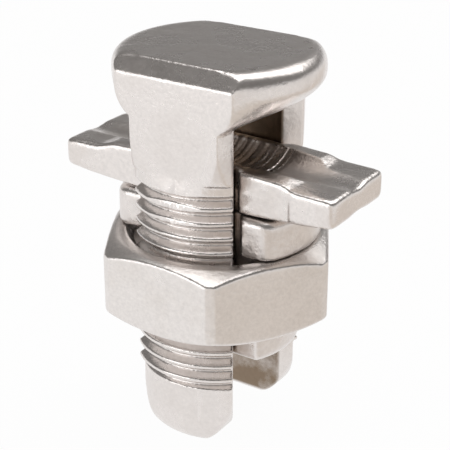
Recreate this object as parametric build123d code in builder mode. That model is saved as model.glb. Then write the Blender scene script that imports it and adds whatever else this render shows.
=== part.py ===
from build123d import *
import math
import os

os.makedirs("parts", exist_ok=True)

# A split-bolt connector for joining electric wires. Millimetres, +Z up. The origin is on the bolt's
# axis at the flat top of the head. The wires lie along X, through the slot between the two legs.

# Threaded shank of the bolt
thread_diameter = 15.8
thread_pitch = 1.411
blank_diameter = 14.9
thread_start = 10.2
thread_depth = 0.78
thread_angle = 60.0
thread_root_width = 0.2
bolt_length = 36.9
tip_length = 6.35
tip_round = 2.3
tip_inner_round = 1.1
tip_half_width = 5.0
tip_middle_half_width = 4.4
tip_middle_drop = 3.75
tip_flat_half_width = 1.7

# Slot and legs
slot_width = 8.1
slot_corner_radius = 0.5
leg_inner_half_width = 4.1
leg_side_angle = 57.5
leg_corner_half_depth = 5.9
neck_flat_half_width = 4.6

# Head
head_depth = 14.7
head_height = 5.2
head_disc_radius = 9.5
head_rim_height = 2.3
head_top_round = 1.4
head_band_depth = 0.95
head_band_height = 1.45
head_waist_height = 3.9
head_waist_half_width = 7.9
head_waist_corner_half_width = 5.9
head_base_half_width = 5.1
head_base_corner_half_width = 5.05
head_corner_radius = 0.5
neck_top_radius = 8.8
neck_middle_radius = 8.62
neck_middle_height = 7.6
neck_bottom_radius = 8.15

# Clearances between the pieces
slide_clearance = 0.2
bore_clearance = 0.1
turn_clearance = 0.15
stem_clearance = 0.25
spacer_ear_clearance = 0.45
pad_ear_clearance = 0.7
stack_gap = 0.05

# Nut, and where it stands on the thread
nut_across_flats = 20.2
nut_height = 7.35
nut_top = 17.2
nut_yaw = -1.0
nut_edge_round = 1.2
nut_face_radius = 9.65
nut_chamfer_angle = 27.0
nut_chamfer_crown = 12.0
nut_countersink_radius = 8.7
nut_countersink_angle = 90.0
nut_thread_minor_radius = 7.25

# Pressure pad
pad_setback = 0.1
pad_thickness = 3.65
pad_ear_half_width = 4.85
pad_corner_round = 1.6
pad_edge_round = 0.7
pad_groove_radius = 4.4
pad_groove_depth = 0.8
pad_lip_overhang = 0.3
pad_lip_height = 3.4
pad_lip_round = 0.7

# Spacer bar
spacer_length = 28.6
spacer_half_width = 4.6
spacer_shank_half_width = 4.45
spacer_shoulder_half_length = 10.0
spacer_end_thickness = 2.8
spacer_middle_thickness = 4.15
spacer_groove_radius = 4.9
spacer_top_groove_depth = 1.05
spacer_bottom_groove_depth = 0.9
spacer_rim_half_length = 8.2
spacer_wing_root = 10.2
spacer_wing_root_drop = 0.7
spacer_wing_end_drop = 0.85
spacer_edge_round = 0.5
rib_count = 12
rib_spacing = 1.03
rib_width = 0.5
rib_depth = 0.16

# Sizes that follow from the ones above
thread_radius = thread_diameter / 2
thread_end = bolt_length - tip_length
thread_turns = math.floor((thread_end - thread_start) / thread_pitch)
blank_radius = blank_diameter / 2
thread_groove_flare = (thread_depth + turn_clearance) * math.tan(math.radians(thread_angle / 2))
slot_half_width = slot_width / 2
head_half_depth = head_depth / 2
head_corner_half_width = math.sqrt(head_disc_radius**2 - head_half_depth**2)
reach = spacer_length + thread_diameter
nut_bore_radius = thread_radius + bore_clearance
nut_bottom = nut_top + nut_height
nut_corner_radius = nut_across_flats / math.sqrt(3)
pad_radius = head_disc_radius - pad_setback
pad_stem_radius = nut_thread_minor_radius - stem_clearance
pad_lip_radius = nut_thread_minor_radius + pad_lip_overhang
pad_top = nut_top - stack_gap - pad_thickness
spacer_middle = pad_top - stack_gap - spacer_middle_thickness / 2
web_half_width = slot_half_width - slide_clearance
leg_side_slope = 1 / math.tan(math.radians(leg_side_angle))


def leg_side(half_depth):
    """Half the width of a leg, measured at a distance from the middle of the slot."""
    return leg_inner_half_width + (half_depth - slot_half_width) * leg_side_slope


def head_section(height, corner_half_width, middle_half_width):
    """Outline of the head at one height: flat front and back, bulging sides."""
    with BuildSketch(Plane.XY.offset(-height)) as section:
        with BuildLine():
            right = ThreePointArc(
                (corner_half_width, -head_half_depth),
                (middle_half_width, 0),
                (corner_half_width, head_half_depth),
            )
            left = ThreePointArc(
                (-corner_half_width, head_half_depth),
                (-middle_half_width, 0),
                (-corner_half_width, -head_half_depth),
            )
            Line(right @ 1, left @ 0)
            Line(left @ 1, right @ 0)
        make_face()
        fillet(section.vertices(), radius=head_corner_radius)
    return section.sketch


with BuildPart() as split_bolt_body:
    # The neck is round with its front and back planed flat.
    with BuildSketch(Plane.XZ):
        with BuildLine():
            Polyline(
                (neck_bottom_radius, -thread_start),
                (0, -thread_start),
                (0, -head_height),
                (neck_top_radius, -head_height),
            )
            ThreePointArc(
                (neck_top_radius, -head_height),
                (neck_middle_radius, -neck_middle_height),
                (neck_bottom_radius, -thread_start),
            )
        make_face()
    revolve(axis=Axis.Z)
    with BuildSketch(Plane.XY.offset(-thread_start)):
        Rectangle(reach, head_depth)
    extrude(amount=thread_start, mode=Mode.INTERSECT)

    # The head is a thick disc cut flat at front and back, drawn in towards the legs below.
    add(head_section(0, head_corner_half_width, head_disc_radius))
    extrude(amount=-head_rim_height)
    loft(
        [
            head_section(head_rim_height, head_corner_half_width, head_disc_radius),
            head_section(head_waist_height, head_waist_corner_half_width, head_waist_half_width),
            head_section(head_height, head_base_corner_half_width, head_base_half_width),
        ]
    )

    # The top is turned to a round edge, and a sloping band is planed along its front and back.
    with BuildSketch(Plane.XZ):
        with BuildLine():
            top_edge = RadiusArc(
                (head_disc_radius - head_top_round, 0),
                (head_disc_radius, -head_top_round),
                head_top_round,
            )
            Polyline(
                top_edge @ 1,
                (head_disc_radius, -thread_start),
                (0, -thread_start),
                (0, 0),
                top_edge @ 0,
            )
        make_face()
    revolve(axis=Axis.Z, mode=Mode.INTERSECT)
    with BuildSketch(Plane.YZ):
        with BuildLine():
            Polyline(
                (head_half_depth, -head_band_height),
                (head_half_depth - head_band_depth, 0),
                (head_half_depth, 0),
                close=True,
            )
        make_face()
        mirror(about=Plane.YZ)
    extrude(amount=reach, both=True, mode=Mode.SUBTRACT)

    # The length that is threaded.
    with BuildSketch(Plane.XY.offset(-thread_end)):
        Circle(thread_radius)
    extrude(amount=thread_end - thread_start)

    # The thread is one groove along a right-hand helix, which begins and ends in the slot.
    thread_path = Helix(
        thread_pitch, thread_turns * thread_pitch, thread_radius, center=(0, 0, -thread_end)
    ).rotate(Axis.Z, 180)
    with BuildSketch(Plane(thread_path @ 0, x_dir=(-1, 0, 0), z_dir=thread_path % 0)):
        with BuildLine():
            Polyline(
                (-thread_depth, -thread_root_width / 2),
                (-thread_depth, thread_root_width / 2),
                (turn_clearance, thread_root_width / 2 + thread_groove_flare),
                (turn_clearance, -thread_root_width / 2 - thread_groove_flare),
                close=True,
            )
        make_face()
    sweep(path=thread_path, is_frenet=True, mode=Mode.SUBTRACT)

    # The plain domed end below the thread.
    with BuildSketch(Plane.XZ):
        with BuildLine():
            dome = RadiusArc(
                (blank_radius, -bolt_length + tip_round),
                (blank_radius - tip_round, -bolt_length),
                tip_round,
            )
            Polyline(
                dome @ 1,
                (0, -bolt_length),
                (0, -thread_end),
                (blank_radius, -thread_end),
                dome @ 0,
            )
        make_face()
    revolve(axis=Axis.Z)

    # A leg narrows from its threaded back to the slot, and its outer corners are cut back at the neck.
    with BuildSketch(Plane.XY.offset(-bolt_length - turn_clearance)):
        with BuildLine():
            Polyline(
                (leg_inner_half_width, -slot_half_width),
                (leg_side(leg_corner_half_depth), -leg_corner_half_depth),
                (neck_flat_half_width, -head_half_depth),
                (neck_flat_half_width, -head_disc_radius),
                (reach, -head_disc_radius),
                (reach, head_disc_radius),
                (neck_flat_half_width, head_disc_radius),
                (neck_flat_half_width, head_half_depth),
                (leg_side(leg_corner_half_depth), leg_corner_half_depth),
                (leg_inner_half_width, slot_half_width),
                close=True,
            )
        make_face()
        mirror(about=Plane.YZ)
    extrude(amount=bolt_length + turn_clearance - head_height, mode=Mode.SUBTRACT)

    # Below the thread each leg is drawn in to a blunt rounded tip.
    with BuildSketch(Plane.XZ):
        with BuildLine():
            side = ThreePointArc(
                (tip_half_width, -thread_end),
                (tip_middle_half_width, -thread_end - tip_middle_drop),
                (tip_flat_half_width, -bolt_length),
            )
            Polyline(
                side @ 1,
                (tip_flat_half_width, -bolt_length - turn_clearance),
                (head_disc_radius, -bolt_length - turn_clearance),
                (head_disc_radius, -thread_end),
                side @ 0,
            )
        make_face()
        mirror(about=Plane.YZ)
    extrude(amount=reach, both=True, mode=Mode.SUBTRACT)

    # The slot runs right through along X, with softened corners under the head and a round mouth.
    with BuildSketch(Plane.YZ) as slot:
        with Locations((0, -head_height)):
            Rectangle(slot_width, 2 * bolt_length, align=(Align.CENTER, Align.MAX))
        fillet(slot.vertices().sort_by(Axis.Y)[-2:], radius=slot_corner_radius)
        with BuildLine():
            mouth = RadiusArc(
                (slot_half_width + tip_inner_round, -bolt_length),
                (slot_half_width, -bolt_length + tip_inner_round),
                tip_inner_round,
            )
            Polyline(mouth @ 1, (slot_half_width, -bolt_length), mouth @ 0)
        make_face()
        mirror(about=Plane.YZ)
    extrude(amount=reach, both=True, mode=Mode.SUBTRACT)

split_bolt_body.part.label = "split_bolt_body"
export_step(split_bolt_body.part, "parts/split_bolt_body.step")


def leg_passage(clearance):
    """Plan of the room that both legs need where a loose piece passes between them."""
    outer = reach / 2
    with BuildSketch() as passage:
        with BuildLine():
            Polyline(
                (leg_inner_half_width + clearance, web_half_width),
                (leg_side(outer) + clearance, outer),
                (-leg_side(outer) - clearance, outer),
                (-leg_inner_half_width - clearance, web_half_width),
                close=True,
            )
        make_face()
        mirror(about=Plane.XZ)
    return passage.sketch


with BuildPart() as hex_nut:
    with BuildSketch(Plane.XY.offset(-nut_bottom)):
        RegularPolygon(nut_across_flats / 2, 6, major_radius=False, rotation=nut_yaw)
    extrude(amount=nut_height)
    fillet(hex_nut.edges().filter_by(Axis.Z), radius=nut_edge_round)
    # Both faces are turned to a flat ring, which cuts the corners back.
    chamfer_drop = (nut_corner_radius - nut_face_radius) * math.tan(math.radians(nut_chamfer_angle))
    with BuildSketch(Plane.XZ):
        with BuildLine():
            top_turn = RadiusArc(
                (nut_face_radius, -nut_top),
                (nut_corner_radius, -nut_top - chamfer_drop),
                nut_chamfer_crown,
            )
            bottom_turn = RadiusArc(
                (nut_corner_radius, -nut_bottom + chamfer_drop),
                (nut_face_radius, -nut_bottom),
                nut_chamfer_crown,
            )
            Line(top_turn @ 1, bottom_turn @ 0)
            Polyline(bottom_turn @ 1, (0, -nut_bottom), (0, -nut_top), top_turn @ 0)
        make_face()
    revolve(axis=Axis.Z, mode=Mode.INTERSECT)
    with Locations(Plane.XY.offset(-nut_top)):
        CounterSinkHole(nut_bore_radius, nut_countersink_radius, counter_sink_angle=nut_countersink_angle)
    with Locations(Plane.XY.offset(-nut_bottom).rotated((180, 0, 0))):
        CounterSinkHole(nut_bore_radius, nut_countersink_radius, counter_sink_angle=nut_countersink_angle)

hex_nut.part.label = "hex_nut"
export_step(hex_nut.part, "parts/hex_nut.step")


with BuildPart() as pressure_pad:
    # The round head of the pad lies on the nut, with ears that reach out past both legs.
    with BuildSketch(Plane.XY.offset(-pad_top - pad_thickness)):
        Circle(pad_radius)
        Rectangle(reach, 2 * pad_ear_half_width, mode=Mode.INTERSECT)
    extrude(amount=pad_thickness)
    fillet(pressure_pad.edges().filter_by(Axis.Z), radius=pad_corner_round)
    fillet(pressure_pad.faces().sort_by(Axis.Z)[-1].edges(), radius=pad_edge_round)
    with BuildSketch(Plane.YZ):
        with Locations((0, -pad_top + pad_groove_radius - pad_groove_depth)):
            Circle(pad_groove_radius)
    extrude(amount=reach, both=True, mode=Mode.SUBTRACT)
    with BuildSketch(Plane.XY.offset(-pad_top - pad_thickness)):
        add(leg_passage(pad_ear_clearance))
    extrude(amount=pad_thickness, mode=Mode.SUBTRACT)

    # Its stem goes down through the nut and ends in a wider lip, which keeps the two together.
    with BuildSketch(Plane.XY.offset(-pad_top - pad_thickness)):
        Circle(pad_stem_radius)
        Rectangle(reach, 2 * web_half_width, mode=Mode.INTERSECT)
    extrude(amount=-(nut_bottom + turn_clearance - pad_top - pad_thickness))
    with BuildSketch(Plane.XY.offset(-nut_bottom - turn_clearance)):
        Circle(pad_lip_radius)
        Rectangle(reach, 2 * web_half_width, mode=Mode.INTERSECT)
    extrude(amount=-pad_lip_height)
    fillet(pressure_pad.faces().sort_by(Axis.Z)[0].edges(), radius=pad_lip_round)

pressure_pad.part.label = "pressure_pad"
export_step(pressure_pad.part, "parts/pressure_pad.step")


with BuildPart() as spacer_bar:
    # Seen from the front the bar is a flat lens, thickest between the legs.
    with BuildSketch(Plane.XZ.offset(-spacer_half_width)):
        with BuildLine():
            top = ThreePointArc(
                (-spacer_length / 2, -spacer_middle + spacer_end_thickness / 2),
                (0, -spacer_middle + spacer_middle_thickness / 2),
                (spacer_length / 2, -spacer_middle + spacer_end_thickness / 2),
            )
            bottom = ThreePointArc(
                (spacer_length / 2, -spacer_middle - spacer_end_thickness / 2),
                (0, -spacer_middle - spacer_middle_thickness / 2),
                (-spacer_length / 2, -spacer_middle - spacer_end_thickness / 2),
            )
            Line(top @ 1, bottom @ 0)
            Line(bottom @ 1, top @ 0)
        make_face()
    extrude(amount=2 * spacer_half_width)
    fillet(spacer_bar.edges(), radius=spacer_edge_round)

    # The wings are flat on top, and the middle rises from them.
    with BuildSketch(Plane.XZ):
        with BuildLine():
            Polyline(
                (spacer_rim_half_length, -spacer_middle + spacer_middle_thickness / 2),
                (spacer_wing_root, -spacer_middle + spacer_middle_thickness / 2 - spacer_wing_root_drop),
                (spacer_length / 2, -spacer_middle + spacer_middle_thickness / 2 - spacer_wing_end_drop),
                (spacer_length / 2, -spacer_middle + spacer_middle_thickness / 2),
                close=True,
            )
        make_face()
        mirror(about=Plane.YZ)
    extrude(amount=reach, both=True, mode=Mode.SUBTRACT)

    # Between the wings the bar is a little narrower, and narrower still where it passes the legs.
    with BuildSketch(Plane.XZ.offset(-reach)):
        with Locations((0, -spacer_middle)):
            Rectangle(2 * spacer_shoulder_half_length, 2 * spacer_middle_thickness)
    extrude(amount=reach - spacer_shank_half_width, mode=Mode.SUBTRACT)
    with BuildSketch(Plane.XZ.offset(reach)):
        with Locations((0, -spacer_middle)):
            Rectangle(2 * spacer_shoulder_half_length, 2 * spacer_middle_thickness)
    extrude(amount=-(reach - spacer_shank_half_width), mode=Mode.SUBTRACT)
    with BuildSketch(Plane.XY.offset(-spacer_middle - spacer_middle_thickness)):
        add(leg_passage(spacer_ear_clearance))
    extrude(amount=2 * spacer_middle_thickness, mode=Mode.SUBTRACT)

    # A wire lies in a groove on each face. The upper groove has fine ribs across it for grip.
    spacer_top = -spacer_middle + spacer_middle_thickness / 2
    spacer_bottom = -spacer_middle - spacer_middle_thickness / 2
    top_groove_centre = spacer_top + spacer_groove_radius - spacer_top_groove_depth
    bottom_groove_centre = spacer_bottom - spacer_groove_radius + spacer_bottom_groove_depth
    with BuildSketch(Plane.YZ):
        with Locations((0, top_groove_centre), (0, bottom_groove_centre)):
            Circle(spacer_groove_radius)
    extrude(amount=spacer_length, both=True, mode=Mode.SUBTRACT)
    for number in range(rib_count):
        along = (number - (rib_count - 1) / 2) * rib_spacing
        with BuildSketch(Plane.YZ.offset(along)):
            with Locations((0, top_groove_centre)):
                Circle(spacer_groove_radius + rib_depth)
        extrude(amount=(rib_spacing - rib_width) / 2, both=True, mode=Mode.SUBTRACT)

spacer_bar.part.label = "spacer_bar"
export_step(spacer_bar.part, "parts/spacer_bar.step")
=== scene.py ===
import math

import bmesh
import bpy
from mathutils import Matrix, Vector


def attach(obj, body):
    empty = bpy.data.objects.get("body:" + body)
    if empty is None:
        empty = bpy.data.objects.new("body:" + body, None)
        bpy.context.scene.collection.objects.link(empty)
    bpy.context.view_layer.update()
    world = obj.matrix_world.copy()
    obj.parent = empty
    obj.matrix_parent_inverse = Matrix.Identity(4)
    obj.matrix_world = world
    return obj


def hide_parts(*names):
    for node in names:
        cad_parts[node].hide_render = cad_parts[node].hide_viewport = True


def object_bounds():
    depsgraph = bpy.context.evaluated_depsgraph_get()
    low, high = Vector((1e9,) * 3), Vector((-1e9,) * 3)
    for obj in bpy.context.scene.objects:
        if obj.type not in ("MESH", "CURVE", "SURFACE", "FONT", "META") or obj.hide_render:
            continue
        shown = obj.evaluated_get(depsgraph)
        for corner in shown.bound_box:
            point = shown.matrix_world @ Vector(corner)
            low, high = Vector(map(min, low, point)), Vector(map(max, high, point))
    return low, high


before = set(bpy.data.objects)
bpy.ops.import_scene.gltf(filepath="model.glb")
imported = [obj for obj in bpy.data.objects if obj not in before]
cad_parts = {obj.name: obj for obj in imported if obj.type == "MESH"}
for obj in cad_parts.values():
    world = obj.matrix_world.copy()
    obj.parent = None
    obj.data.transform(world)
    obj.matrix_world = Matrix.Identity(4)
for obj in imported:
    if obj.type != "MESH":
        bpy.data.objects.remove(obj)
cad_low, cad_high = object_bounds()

# The bolt is one forging in tin-plated copper alloy: a disc-shaped head, cut flat at front and
# back, and two legs with an open slot between them. The thread is cut on the legs' outer backs.
thread_top = -0.0098
thread_bottom = -0.0304
thread_softness = 0.3
slot_half_width = 0.00405
slot_ceiling = -0.0052
head_shoulder_low = -0.0032
head_shoulder_radius = 0.0076
head_shoulder_half_depth = 0.0066
neck_face = 0.00735
thread_radius = 0.0079
run_out_top = -0.0100
run_out_bottom = -0.0150


def dressed_copy(node, name):
    """A copy of a CAD node as one welded mesh, with its flat areas as single faces."""
    weld_distance = 2e-6
    flat_angle = math.radians(0.2)
    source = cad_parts[node]
    mesh = source.data.copy()
    mesh.name = name
    copy = bpy.data.objects.new(name, mesh)
    bpy.context.scene.collection.objects.link(copy)
    work = bmesh.new()
    work.from_mesh(mesh)
    bmesh.ops.remove_doubles(work, verts=work.verts, dist=weld_distance)
    bmesh.ops.dissolve_limit(work, angle_limit=flat_angle, verts=work.verts, edges=work.edges)
    work.to_mesh(mesh)
    work.free()
    return copy


def apply_modifiers(piece):
    """Turns the piece's modifiers into its mesh."""
    bpy.context.view_layer.update()
    graph = bpy.context.evaluated_depsgraph_get()
    mesh = bpy.data.meshes.new_from_object(piece.evaluated_get(graph))
    piece.modifiers.clear()
    piece.data = mesh


def smooth_where(piece, passes, share):
    """Smooths the surface, at each point by the share from 0 to 1 that share(place) gives."""
    region = piece.vertex_groups.new(name="smoothed")
    for vertex in piece.data.vertices:
        region.add([vertex.index], share(vertex.co), "REPLACE")
    even = piece.modifiers.new("even", "SMOOTH")
    even.factor = 0.5
    even.iterations = passes
    even.vertex_group = region.name
    apply_modifiers(piece)
    piece.vertex_groups.clear()


def everywhere(place):
    """The full share of smoothing, wherever a point is."""
    return 1.0


def soften(piece, grid, passes, share=everywhere, shoulder=None, shoulder_passes=50):
    """Rounds every edge a little, as forging, casting and plating leave them. The surface is laid
    anew on a fine grid and smoothed. Where shoulder(place) holds, the edges are rounded more."""
    skin = piece.modifiers.new("skin", "REMESH")
    skin.mode = "VOXEL"
    skin.voxel_size = grid
    apply_modifiers(piece)
    if shoulder is not None:
        smooth_where(piece, shoulder_passes, shoulder)
    smooth_where(piece, passes, share)


def thin_out(piece, keep):
    """Thins the mesh to a share of its faces, and takes them where the surface is flattest."""
    thin = piece.modifiers.new("thin", "DECIMATE")
    thin.ratio = keep
    apply_modifiers(piece)


def shade(piece, angle):
    """Smooth shading, with edges kept sharp above an angle in degrees."""
    piece.data.shade_smooth()
    piece.data.set_sharp_from_angle(angle=math.radians(angle))


bolt = dressed_copy("split_bolt_body", "forged_bolt")


def thread_share(place):
    """The thread keeps its crests, and the rest is softer."""
    return thread_softness if thread_bottom < place.z < thread_top else 1.0


def head_shoulder(place):
    """1 along the rounded top edge at both sides of the head, and 0 elsewhere."""
    return float(
        place.z > head_shoulder_low
        and math.hypot(place.x, place.y) > head_shoulder_radius
        and abs(place.y) < head_shoulder_half_depth
    )


soften(bolt, grid=0.00012, passes=10, share=thread_share, shoulder=head_shoulder)

# The flat faces of the neck run on into the thread, which is fully cut only some turns lower.
for vertex in bolt.data.vertices:
    place = vertex.co
    if run_out_bottom < place.z < run_out_top and abs(place.x) < thread_radius:
        fade = (run_out_top - place.z) / (run_out_top - run_out_bottom)
        crest = math.sqrt(thread_radius**2 - place.x**2)
        limit = neck_face + (crest - neck_face) * fade
        if crest > neck_face and abs(place.y) > limit:
            place.y = math.copysign(limit, place.y)
thin_out(bolt, keep=0.42)
shade(bolt, angle=60)


def skin_group():
    """The look of plated cast and forged metal. It gives the colour, roughness and height of a
    grainy skin:
    speckled, worn bright on its edges, stained in patches, darkened in its hollows by dirt and
    painted shade, and darkened inside the bolt's slot by painted shade."""
    hollow_limits = (0.475, 0.40)
    edge_limits = (0.51, 0.58)
    patch_limits = (0.46, 0.70)
    broken_limits = (0.3, 0.6)
    slot_shade_limits = (0.2, 0.5)
    slot_side_limits = (slot_half_width + 0.0002, slot_half_width + 0.00005)
    slot_top_limits = (slot_ceiling + 0.0002, slot_ceiling - 0.0002)
    stain_roughness = 0.2
    edge_polish = -0.08
    group = bpy.data.node_groups.new("plated_skin", "ShaderNodeTree")
    face = group.interface
    for label in (
        "Grain scale",
        "Grain",
        "Dents",
        "Speckle",
        "Tarnish",
        "Hollow tarnish",
        "Slot tarnish",
    ):
        face.new_socket(label, in_out="INPUT", socket_type="NodeSocketFloat")
    for label in ("Clean colour", "Tarnish colour"):
        face.new_socket(label, in_out="INPUT", socket_type="NodeSocketColor")
    face.new_socket("Base roughness", in_out="INPUT", socket_type="NodeSocketFloat")
    face.new_socket("Colour", in_out="OUTPUT", socket_type="NodeSocketColor")
    face.new_socket("Roughness", in_out="OUTPUT", socket_type="NodeSocketFloat")
    face.new_socket("Height", in_out="OUTPUT", socket_type="NodeSocketFloat")
    nodes, links = group.nodes, group.links
    given = nodes.new("NodeGroupInput")
    out = nodes.new("NodeGroupOutput")
    place = nodes.new("ShaderNodeTexCoord")

    def noise(scale, detail):
        """Noise in the piece's own coordinates."""
        cloud = nodes.new("ShaderNodeTexNoise")
        cloud.inputs["Scale"].default_value = scale
        cloud.inputs["Detail"].default_value = detail
        cloud.inputs["Roughness"].default_value = 0.6
        links.new(place.outputs["Object"], cloud.inputs["Vector"])
        return cloud

    def sums(operation, first, second, third=None):
        """One step of arithmetic on sockets or numbers."""
        step = nodes.new("ShaderNodeMath")
        step.operation = operation
        for socket, value in zip(step.inputs, (first, second, third)):
            if value is None:
                continue
            if isinstance(value, (int, float)):
                socket.default_value = value
            else:
                links.new(value, socket)
        return step.outputs[0]

    def ramp(value, limits, top=1.0):
        """A value spread from 0 at the first limit to top at the second."""
        spread = nodes.new("ShaderNodeMapRange")
        spread.inputs["From Min"].default_value = limits[0]
        spread.inputs["From Max"].default_value = limits[1]
        links.new(value, spread.inputs["Value"])
        if isinstance(top, (int, float)):
            spread.inputs["To Max"].default_value = top
        else:
            links.new(top, spread.inputs["To Max"])
        return spread.outputs["Result"]

    grain = noise(scale=2600.0, detail=3.0)
    links.new(given.outputs["Grain scale"], grain.inputs["Scale"])
    dents = noise(scale=420.0, detail=3.0)
    stain = noise(scale=170.0, detail=6.0)
    shape = nodes.new("ShaderNodeNewGeometry")
    # Dirt and painted shade: the colour darkens where the surface is hollow, broken up by the
    # dents.
    hollow = ramp(shape.outputs["Pointiness"], hollow_limits, given.outputs["Hollow tarnish"])
    edge = ramp(shape.outputs["Pointiness"], edge_limits)
    fine = sums("MULTIPLY", grain.outputs["Fac"], given.outputs["Grain"])
    height = sums("MULTIPLY_ADD", dents.outputs["Fac"], given.outputs["Dents"], fine)
    links.new(height, out.inputs["Height"])

    patches = ramp(stain.outputs["Fac"], patch_limits, given.outputs["Tarnish"])
    broken = sums("MULTIPLY", hollow, ramp(dents.outputs["Fac"], broken_limits))
    # Painted shade between the legs: inside the bolt's slot, below its ceiling, the colour darkens
    # in patches.
    spot = nodes.new("ShaderNodeSeparateXYZ")
    links.new(place.outputs["Object"], spot.inputs["Vector"])
    off_middle = sums("ABSOLUTE", spot.outputs["Y"], 0.0)
    within = ramp(off_middle, slot_side_limits, given.outputs["Slot tarnish"])
    below = ramp(spot.outputs["Z"], slot_top_limits)
    inside = sums("MULTIPLY", within, below)
    slot_shade = sums("MULTIPLY", inside, ramp(stain.outputs["Fac"], slot_shade_limits))
    stains_and_shade = sums("MAXIMUM", sums("MAXIMUM", patches, broken), slot_shade)
    worn = sums("SUBTRACT", stains_and_shade, edge)
    colour = nodes.new("ShaderNodeMix")
    colour.data_type = "RGBA"
    links.new(sums("MAXIMUM", worn, 0.0), colour.inputs["Factor"])
    links.new(given.outputs["Clean colour"], colour.inputs["A"])
    links.new(given.outputs["Tarnish colour"], colour.inputs["B"])
    speck = nodes.new("ShaderNodeHueSaturation")
    swing = sums("SUBTRACT", grain.outputs["Fac"], 0.5)
    links.new(sums("MULTIPLY_ADD", swing, given.outputs["Speckle"], 1.0), speck.inputs["Value"])
    links.new(colour.outputs["Result"], speck.inputs["Color"])
    links.new(speck.outputs["Color"], out.inputs["Colour"])
    base = given.outputs["Base roughness"]
    rough = sums("MULTIPLY_ADD", stain.outputs["Fac"], stain_roughness, base)
    links.new(sums("MULTIPLY_ADD", edge, edge_polish, rough), out.inputs["Roughness"])
    return group


plated_skin = skin_group()


def plated_metal(name, relief, **values):
    """Tin plating with its own grain, stain patches and painted shade, on one principled shader.
    """
    material = bpy.data.materials.new(name)
    material.use_nodes = True
    nodes, links = material.node_tree.nodes, material.node_tree.links
    shader = nodes["Principled BSDF"]
    shader.inputs["Metallic"].default_value = 1.0
    skin = nodes.new("ShaderNodeGroup")
    skin.node_tree = plated_skin
    for label, value in values.items():
        skin.inputs[label.replace("_", " ").capitalize()].default_value = value
    bump = nodes.new("ShaderNodeBump")
    bump.inputs["Strength"].default_value = 1.0
    bump.inputs["Distance"].default_value = relief
    links.new(skin.outputs["Height"], bump.inputs["Height"])
    links.new(bump.outputs["Normal"], shader.inputs["Normal"])
    links.new(skin.outputs["Colour"], shader.inputs["Base Color"])
    links.new(skin.outputs["Roughness"], shader.inputs["Roughness"])
    return material


def finish_with(piece, material):
    """Gives the piece one material all over."""
    piece.data.materials.clear()
    piece.data.materials.append(material)


bolt_metal = plated_metal(
    "bolt_tin_plating",
    relief=0.00006,
    clean_colour=(0.78, 0.735, 0.71, 1),
    tarnish_colour=(0.24, 0.18, 0.13, 1),
    base_roughness=0.18,
    grain_scale=2600,
    grain=0.45,
    dents=1.0,
    speckle=0.22,
    tarnish=0.13,
    # Dirt and painted shade in the hollows.
    hollow_tarnish=0.4,
    # Painted shade in patches inside the slot between the legs.
    slot_tarnish=1.0,
)
finish_with(bolt, bolt_metal)
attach(bolt, "bolt")
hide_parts("split_bolt_body")

# The spacer bar lies loose between the legs and keeps the two wires apart. It is a small casting,
# shaped like a lens, with a saddle groove on both faces and fine ribs across the upper one.
spacer = dressed_copy("spacer_bar", "cast_spacer")
rib_count = 12
rib_spacing = 0.00103
rib_rise = 0.00014
rib_softness = 0.1
shoulder_low = -0.0112
shoulder_half_width = 0.0031
shoulder_half_length = 0.0128
ribbed_half_length = rib_count * rib_spacing / 2
ribbed_half_width = 0.0029
groove_bottom_limit = -0.0106


def on_ribs(place):
    """Whether a point of the spacer is in the ribbed part of its upper groove."""
    return (
        abs(place.x) < ribbed_half_length
        and abs(place.y) < ribbed_half_width
        and place.z > groove_bottom_limit
    )


def spacer_shoulder(place):
    """1 along the upper edges of both sides and all the edges of the ends, and 0 elsewhere."""
    at_side = abs(place.y) > shoulder_half_width and place.z > shoulder_low
    at_end = abs(place.x) > shoulder_half_length
    return float(at_side or at_end)


def rib_share(place):
    """The ribs stay crisp, and the rest is softer."""
    return rib_softness if on_ribs(place) else 1.0


soften(
    spacer,
    grid=0.00011,
    passes=10,
    share=rib_share,
    shoulder=spacer_shoulder,
    shoulder_passes=60,
)
for vertex in spacer.data.vertices:
    if on_ribs(vertex.co):
        turn = 2 * math.pi * (vertex.co.x / rib_spacing - 0.5)
        vertex.co.z += rib_rise * (math.cos(turn) - 1) / 2
thin_out(spacer, keep=0.7)
shade(spacer, angle=38)
spacer_metal = plated_metal(
    "spacer_tin_plating",
    relief=0.00006,
    clean_colour=(0.78, 0.735, 0.71, 1),
    tarnish_colour=(0.42, 0.34, 0.27, 1),
    base_roughness=0.18,
    grain_scale=2800,
    grain=0.5,
    dents=1.0,
    speckle=0.25,
    tarnish=0.28,
    # Dirt and painted shade in the hollows.
    hollow_tarnish=0.6,
)
finish_with(spacer, spacer_metal)
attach(spacer, "spacer")
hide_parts("spacer_bar")

# The pressure pad rides on the nut and doesn't turn with it. It is cast, with a saddle groove for
# the lower wire, and a stem goes down through the nut to a wider lip that holds the two together.
pad = dressed_copy("pressure_pad", "cast_pad")
soften(pad, grid=0.00013, passes=7)
thin_out(pad, keep=0.9)
shade(pad, angle=38)
pad_metal = plated_metal(
    "pad_tin_plating",
    relief=0.00007,
    clean_colour=(0.76, 0.715, 0.69, 1),
    tarnish_colour=(0.42, 0.34, 0.27, 1),
    base_roughness=0.20,
    grain_scale=2400,
    grain=0.5,
    dents=1.2,
    speckle=0.25,
    tarnish=0.3,
    # Dirt and painted shade in the hollows.
    hollow_tarnish=0.6,
)
finish_with(pad, pad_metal)
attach(pad, "pad")
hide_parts("pressure_pad")

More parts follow.
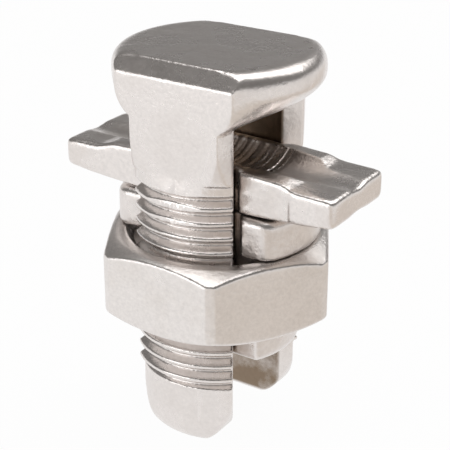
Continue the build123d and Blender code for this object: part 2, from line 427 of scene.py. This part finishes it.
# The nut is a machined hexagon of the same alloy. Its corners are turned back, both at its faces
# and a little on the uprights. It runs on the bolt's thread and carries the pad.
nut = dressed_copy("hex_nut", "turned_nut")
corner_radius = 0.01138
soften(nut, grid=0.00014, passes=9)
for vertex in nut.data.vertices:
    reach = math.hypot(vertex.co.x, vertex.co.y)
    if reach > corner_radius:
        vertex.co.x *= corner_radius / reach
        vertex.co.y *= corner_radius / reach
thin_out(nut, keep=0.8)
shade(nut, angle=38)
nut_metal = plated_metal(
    "nut_tin_plating",
    relief=0.00005,
    clean_colour=(0.78, 0.74, 0.715, 1),
    tarnish_colour=(0.50, 0.43, 0.35, 1),
    base_roughness=0.22,
    grain_scale=3000,
    grain=0.7,
    dents=0.5,
    speckle=0.3,
    tarnish=0.18,
    # Dirt and painted shade in the hollows.
    hollow_tarnish=0.5,
)
finish_with(nut, nut_metal)
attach(nut, "nut")
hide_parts("hex_nut")

# The connector stands on the tips of its legs on a plain white table. The camera sees the table
# as white. In the metal's reflections the table glows white too, but for a warmer strip on the
# right: a painted reflection that tints the metal's right-facing faces.
table_half = 1.5
table_white = (0.86, 0.85, 0.84, 1)
table_glow = 0.97
painted_reflection_tint = (0.76, 0.70, 0.64, 1)
painted_reflection_stops = ((0.01, 0.0), (0.03, 1.0), (0.055, 1.0), (0.075, 0.25))
table = bpy.data.meshes.new("table_top")
corners = [
    (table_half * x, table_half * y, cad_low[2]) for x, y in ((-1, -1), (1, -1), (1, 1), (-1, 1))
]
table.from_pydata(corners, [], [(0, 1, 2, 3)])
table_top = bpy.data.objects.new("table_top", table)
bpy.context.scene.collection.objects.link(table_top)
white = bpy.data.materials.new("white_table")
white.use_nodes = True
tree = white.node_tree
paint = tree.nodes["Principled BSDF"]
paint.inputs["Base Color"].default_value = table_white
paint.inputs["Roughness"].default_value = 0.9
paint.inputs["Specular IOR Level"].default_value = 0.1
glow = tree.nodes.new("ShaderNodeEmission")
seen = tree.nodes.new("ShaderNodeLightPath")
where = tree.nodes.new("ShaderNodeTexCoord")
across = tree.nodes.new("ShaderNodeSeparateXYZ")
tree.links.new(where.outputs["Object"], across.inputs["Vector"])
# Painted reflection: in glossy rays the table turns warm to the right of the connector, strongest
# from X 3 to 5.5 cm.
aside = tree.nodes.new("ShaderNodeValToRGB")
for index, (position, level) in enumerate(painted_reflection_stops):
    stops = aside.color_ramp.elements
    stop = stops[index] if index < 2 else stops.new(position)
    stop.position = position
    stop.color = (level, level, level, 1)
tree.links.new(across.outputs["X"], aside.inputs["Fac"])
shown = tree.nodes.new("ShaderNodeMath")
shown.operation = "MULTIPLY"
tree.links.new(aside.outputs["Color"], shown.inputs[0])
tree.links.new(seen.outputs["Is Glossy Ray"], shown.inputs[1])
warm = tree.nodes.new("ShaderNodeMix")
warm.data_type = "RGBA"
warm.inputs["A"].default_value = (1, 1, 1, 1)
warm.inputs["B"].default_value = painted_reflection_tint
tree.links.new(shown.outputs[0], warm.inputs["Factor"])
tree.links.new(warm.outputs["Result"], glow.inputs["Color"])
either = tree.nodes.new("ShaderNodeMath")
either.operation = "MAXIMUM"
tree.links.new(seen.outputs["Is Camera Ray"], either.inputs[0])
tree.links.new(seen.outputs["Is Glossy Ray"], either.inputs[1])
amount = tree.nodes.new("ShaderNodeMath")
amount.operation = "MULTIPLY"
amount.inputs[1].default_value = table_glow
tree.links.new(either.outputs[0], amount.inputs[0])
blend_paint = tree.nodes.new("ShaderNodeMixShader")
tree.links.new(amount.outputs[0], blend_paint.inputs["Fac"])
tree.links.new(paint.outputs["BSDF"], blend_paint.inputs[1])
tree.links.new(glow.outputs["Emission"], blend_paint.inputs[2])
tree.links.new(blend_paint.outputs["Shader"], tree.nodes["Material Output"].inputs["Surface"])
table_top.data.materials.append(white)

# The studio is white round the horizon and grey overhead, so that the flat tops of the metal are
# darker than its sides. The camera sees plain white behind the table.
horizon_white = (1, 1, 1, 1)
overhead_grey = (0.2, 0.195, 0.19, 1)
horizon_height = 0.5
grey_height = 0.6
world = bpy.data.worlds.new("studio")
bpy.context.scene.world = world
world.use_nodes = True
tree = world.node_tree
sky = tree.nodes["Background"]
look = tree.nodes.new("ShaderNodeTexCoord")
split = tree.nodes.new("ShaderNodeSeparateXYZ")
tree.links.new(look.outputs["Generated"], split.inputs["Vector"])
fall = tree.nodes.new("ShaderNodeValToRGB")
fall.color_ramp.elements[0].position = horizon_height
fall.color_ramp.elements[0].color = horizon_white
fall.color_ramp.elements[1].position = grey_height
fall.color_ramp.elements[1].color = overhead_grey
half = tree.nodes.new("ShaderNodeMath")
half.operation = "MULTIPLY_ADD"
half.inputs[1].default_value = 0.5
half.inputs[2].default_value = 0.5
tree.links.new(split.outputs["Z"], half.inputs[0])
tree.links.new(half.outputs[0], fall.inputs["Fac"])
plain = tree.nodes.new("ShaderNodeBackground")
plain.inputs["Color"].default_value = horizon_white
plain.inputs["Strength"].default_value = 1.0
tree.links.new(fall.outputs["Color"], sky.inputs["Color"])
sky.inputs["Strength"].default_value = 1.0
seen = tree.nodes.new("ShaderNodeLightPath")
pick = tree.nodes.new("ShaderNodeMixShader")
tree.links.new(seen.outputs["Is Camera Ray"], pick.inputs["Fac"])
tree.links.new(sky.outputs["Background"], pick.inputs[1])
tree.links.new(plain.outputs["Background"], pick.inputs[2])
tree.links.new(pick.outputs["Shader"], tree.nodes["World Output"].inputs["Surface"])


# Three square soft boxes light the metal: one behind it, one overhead, and a weaker one low at the
# front left. All of them face the middle of the connector.
def soft_lamp(name, place, target, size, watts):
    """A square soft box that faces a point."""
    lamp = bpy.data.lights.new(name, "AREA")
    lamp.shape = "SQUARE"
    lamp.size = size
    lamp.energy = watts
    box = bpy.data.objects.new(name, lamp)
    bpy.context.scene.collection.objects.link(box)
    box.location = place
    aim = Vector(target) - Vector(place)
    box.rotation_euler = aim.to_track_quat("-Z", "Y").to_euler()


middle = (0, 0, -0.018)
soft_lamp("back_box", (0.08, 0.25, 0.36), middle, size=0.36, watts=0.72)
soft_lamp("overhead_box", (-0.05, 0.0, 0.40), middle, size=0.34, watts=0.68)
soft_lamp("front_box", (-0.16, -0.36, 0.03), middle, size=0.26, watts=0.36)

# The camera stands where the photograph was taken from, a little above the connector and to the
# right of its front. It has a long lens.
azimuth = math.radians(33.19)
elevation = math.radians(24.10)
distance = 0.1199
aim_point = Vector((0.00040, 0.00026, -0.01726))
eye = bpy.data.cameras.new("camera")
eye.lens = 103.4
eye.sensor_width = 36.0
eye.clip_start = 0.01
camera = bpy.data.objects.new("camera", eye)
bpy.context.scene.collection.objects.link(camera)
away = Vector(
    (
        math.sin(azimuth) * math.cos(elevation),
        -math.cos(azimuth) * math.cos(elevation),
        math.sin(elevation),
    )
)
camera.location = aim_point + away * distance
camera.rotation_euler = (-away).to_track_quat("-Z", "Y").to_euler()
bpy.context.scene.camera = camera
bpy.context.scene.view_settings.view_transform = "Standard"
